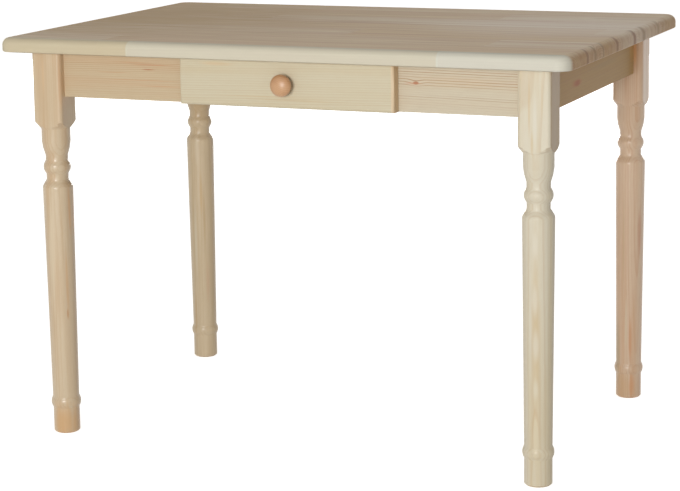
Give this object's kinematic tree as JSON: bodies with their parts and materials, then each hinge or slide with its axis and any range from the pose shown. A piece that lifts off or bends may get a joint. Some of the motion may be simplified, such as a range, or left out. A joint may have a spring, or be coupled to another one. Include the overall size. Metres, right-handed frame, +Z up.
{
  "type": "kitchen table",
  "caption": "Rectangular pine table on turned legs with square tops, straight aprons and a lay-on drawer with a round knob in the long side.",
  "frame": {"origin": "on the floor, under the middle of the table top", "axes": "+Z up, +X along the table towards its right end as seen from the drawer side, -Y towards the drawer side"},
  "size_m": [1.1, 0.75, 0.766],
  "materials": {
    "pine_top": "satin varnish",
    "pine_leg": "satin varnish",
    "pine_apron": "satin varnish",
    "pine_drawer_front": "satin varnish",
    "knob_wood": "satin varnish",
    "pine_inside": "bare, planed",
    "pine_drawer_box": "bare, planed",
    "drawer_panel": "bare plywood",
    "beech_button": "bare",
    "zinc_steel": "zinc plated"
  },
  "bodies": {
    "table": {"table_top": "pine_top", "leg_front_left": "pine_leg", "corner_block_front_left": "pine_inside", "leg_front_right": "pine_leg", "corner_block_front_right": "pine_inside", "leg_back_right": "pine_leg", "corner_block_back_right": "pine_inside", "leg_back_left": "pine_leg", "corner_block_back_left": "pine_inside", "front_apron": "pine_apron", "back_apron": "pine_apron", "side_apron_right": "pine_apron", "side_apron_left": "pine_apron", "top_brackets": "zinc_steel", "runner_left": "pine_inside", "runner_right": "pine_inside", "kicker_left": "pine_inside", "kicker_right": "pine_inside", "stop_screw": "zinc_steel"},
    "drawer": {"drawer_front": "pine_drawer_front", "drawer_side_left": "pine_drawer_box", "drawer_side_right": "pine_drawer_box", "drawer_back": "pine_drawer_box", "drawer_bottom": "drawer_panel", "drawer_knob": "knob_wood", "knob_screw": "zinc_steel"},
    "stop_button": {"stop_button": "beech_button"}
  },
  "joints": [
    {"name": "drawer_slide", "type": "slide", "parent": "table", "child": "drawer", "axis": [0, -1, 0], "range_m": [0, 0.389]},
    {"name": "stop_button_turn", "type": "hinge", "parent": "table", "child": "stop_button", "pos_m": [0.0155, -0.2872, 0.732], "axis": [0, 1, 0], "range_deg": [0, 90]}
  ]
}
